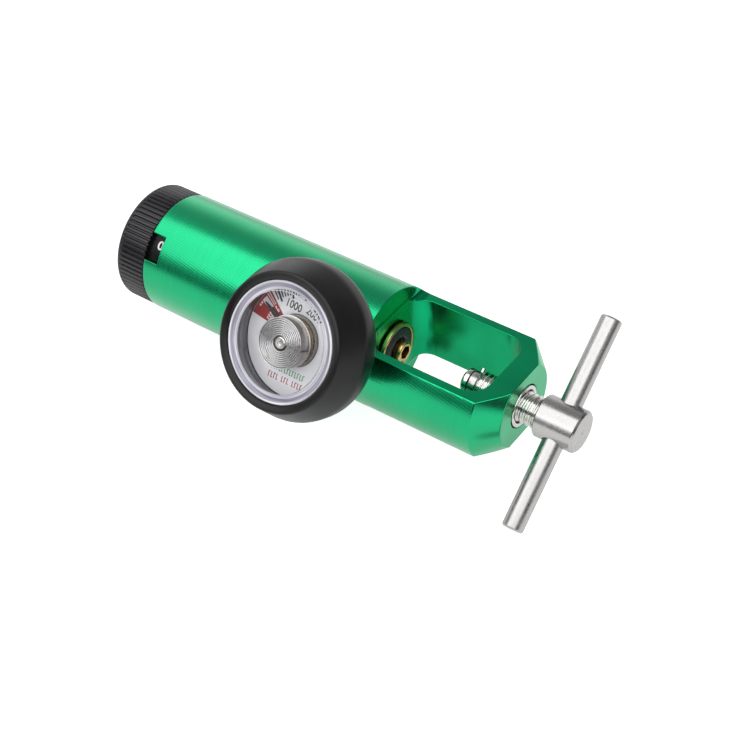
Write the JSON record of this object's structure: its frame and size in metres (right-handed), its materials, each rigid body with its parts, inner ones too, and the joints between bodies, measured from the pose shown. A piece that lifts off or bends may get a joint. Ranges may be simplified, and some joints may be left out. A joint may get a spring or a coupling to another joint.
{
  "type": "oxygen flow regulator",
  "caption": "Green yoke-style oxygen flow regulator for a small cylinder, with a tee-handled clamp screw, a contents gauge in a black rubber boot and a ribbed flow selector knob.",
  "frame": {"origin": "on the body's axis, at the seat wall at the end of the yoke's slot, where the cylinder valve's post presses", "axes": "+X along the body towards the tee handle; +Z square to the yoke's two flats; the gauge leans out towards -Y and +Z"},
  "size_m": [0.1568, 0.0811, 0.0622],
  "materials": {
    "green_anodised": "satin green anodised, with fine turning lines",
    "stainless": "turned, lightly polished",
    "brass": "turned",
    "sintered_bronze": "sintered, dull",
    "black_rubber": "satin moulded",
    "black_plastic": "satin moulded",
    "white_enamel": "white enamel with printed scale",
    "clear_polycarbonate": "clear moulded window",
    "nylon": "natural nylon"
  },
  "bodies": {
    "body": {"yoke_body": "green_anodised", "thread_insert": "stainless", "inlet_nipple": "brass", "inlet_filter": "sintered_bronze", "seal_washer_ring": "brass", "seal_washer_rubber": "black_rubber", "index_pin_a": "stainless", "index_pin_b": "stainless", "nozzle_plate": "brass", "piston_spring": "stainless", "flow_plug": "brass", "plug_ring_front": "black_rubber", "plug_ring_rear": "black_rubber", "thrust_washer": "nylon", "click_plate": "stainless", "plate_set_screw": "stainless", "outlet_barb": "brass", "gauge_stem": "brass", "gauge_case": "stainless", "dial_plate": "white_enamel", "gauge_lens": "clear_polycarbonate", "gauge_boot": "black_rubber", "coil_cup": "brass", "coil_post": "stainless", "bourdon_spiral": "stainless"},
    "screw_tip": {"swivel_tip": "stainless"},
    "screw_and_handle": {"clamp_screw": "stainless", "stop_pin": "stainless", "tee_bar": "stainless"},
    "flow_selector": {"flow_knob": "black_plastic", "selector_shaft": "stainless", "orifice_disc": "brass", "knob_screw": "stainless", "knob_end_cap": "black_plastic", "click_spring": "stainless"},
    "ball": {"click_ball": "stainless"},
    "piston_group": {"piston": "brass", "piston_seat": "nylon", "piston_ring": "black_rubber"},
    "gauge_pointer": {"pointer": "black_plastic"}
  },
  "joints": [
    {"name": "clamp_travel", "type": "slide", "parent": "body", "child": "screw_tip", "axis": [-1, 0, 0], "range_m": [-0.008, 0.0056]},
    {"name": "screw_turn", "type": "hinge", "parent": "screw_tip", "child": "screw_and_handle", "pos_m": [0.0571, 0, 0], "axis": [-1, 0, 0], "range_deg": [-1816, 1272]},
    {"name": "flow_knob_turn", "type": "hinge", "parent": "body", "child": "flow_selector", "pos_m": [-0.0876, 0, 0], "axis": [1, 0, 0], "continuous": true},
    {"name": "click_ball_press", "type": "slide", "parent": "flow_selector", "child": "ball", "axis": [-1, 0, 0], "range_m": [0, 0.0005], "stiffness_N_per_m": 500},
    {"name": "piston_lift", "type": "slide", "parent": "body", "child": "piston_group", "axis": [1, 0, 0], "range_m": [0, 0.0005], "stiffness_N_per_m": 6000},
    {"name": "pointer_sweep", "type": "hinge", "parent": "body", "child": "gauge_pointer", "pos_m": [-0.01225, -0.02943, 0.01839], "axis": [0, 0.848, -0.5299], "range_deg": [0, 155], "stiffness_Nm_per_rad": 0.00001}
  ],
  "couplings": [
    {"joint": "screw_turn", "follows": "clamp_travel", "rad_per_m": 3957.9}
  ]
}
